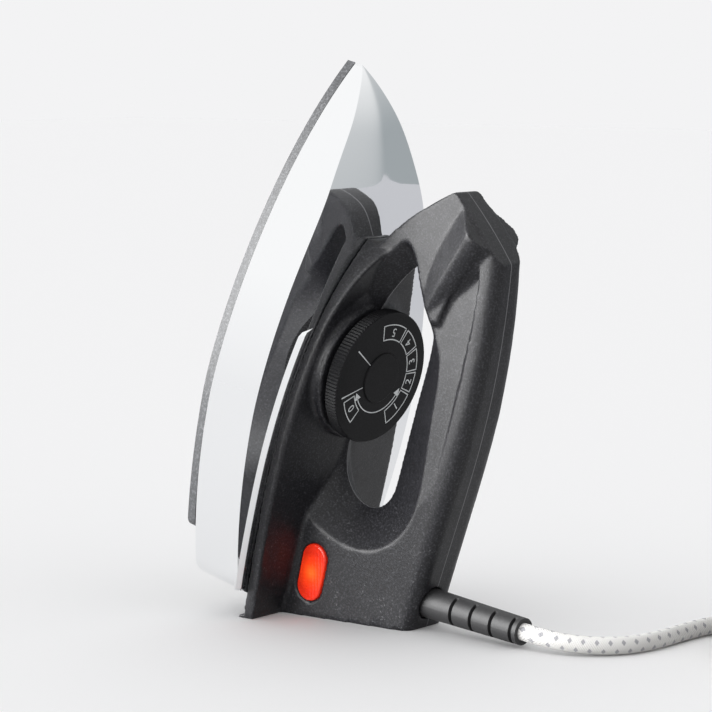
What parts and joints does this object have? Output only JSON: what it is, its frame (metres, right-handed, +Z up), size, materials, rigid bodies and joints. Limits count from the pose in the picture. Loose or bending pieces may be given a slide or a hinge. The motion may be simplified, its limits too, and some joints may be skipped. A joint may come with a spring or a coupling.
{
  "type": "clothes iron",
  "caption": "Dry clothes iron standing on its heel, with a chrome cover, black handle, heat dial in the handle's opening, pilot lamp and braided mains lead with a plug.",
  "frame": {"origin": "bottom centre of the iron's own box, on the floor under its heel, without the mains lead", "axes": "+Z up as the iron stands on its heel, +X from the sole towards the handle, +Y to the iron's right"},
  "size_m": [0.301, 0.1572, 0.233],
  "materials": {
    "aluminium_nonstick": "cast, with a dark speckled non-stick coat",
    "sheath_steel": "dull, heat-tinted",
    "zinc_steel": "zinc plated",
    "bimetal": "rolled",
    "steatite": "fired, unglazed",
    "spring_brass": "rolled",
    "silver": "turned",
    "terminal_brass": "plain",
    "fuse_case": "drawn",
    "chrome": "mirror chrome on steel",
    "black_bakelite": "satin, finely grained",
    "brown_phenolic": "moulded",
    "dial_black": "satin, knurled edge",
    "dial_cap_black": "satin gloss",
    "red_lens": "clear red-orange",
    "lamp_glass": "clear",
    "silicone_leads": "matte",
    "black_rubber": "moulded, matte",
    "white_braid": "textile braid with grey flecks",
    "tie_black": "plain",
    "plug_black": "moulded, matte",
    "pin_brass": "nickel plated"
  },
  "bodies": {
    "iron": {"soleplate": "aluminium_nonstick", "heating_element": "sheath_steel", "heater_terminals": "sheath_steel", "thermostat_frame": "zinc_steel", "thermostat_insulators": "steatite", "bimetal_blade": "bimetal", "contact_springs": "spring_brass", "silver_contacts": "silver", "stack_rivet": "zinc_steel", "thermal_fuse": "fuse_case", "rear_closing_plate": "zinc_steel", "chrome_cover": "chrome", "cover_screws": "zinc_steel", "handle": "black_bakelite", "handle_screws": "zinc_steel", "dial_spring": "zinc_steel", "rear_cover": "black_bakelite", "rear_cover_screw": "zinc_steel", "terminal_block": "brown_phenolic", "terminal_screws": "terminal_brass", "cord_clamp": "brown_phenolic", "clamp_screws": "zinc_steel", "lead_wires": "silicone_leads", "lamp_lens": "red_lens", "neon_lamp": "lamp_glass", "lamp_holder": "zinc_steel", "strain_relief": "black_rubber", "cord_in_relief": "white_braid", "power_cord": "white_braid", "cord_coil": "white_braid", "coil_tie": "tie_black", "cord_tail": "white_braid", "plug_body": "plug_black", "plug_pins": "pin_brass"},
    "dial": {"dial_knob": "dial_black", "dial_cap": "dial_cap_black", "dial_spindle": "zinc_steel"}
  },
  "joints": [
    {"name": "heat_dial", "type": "hinge", "parent": "iron", "child": "dial", "pos_m": [0.00033, 0, 0.10191], "axis": [0.9703, 0, -0.2419], "range_deg": [-245, 0]}
  ]
}
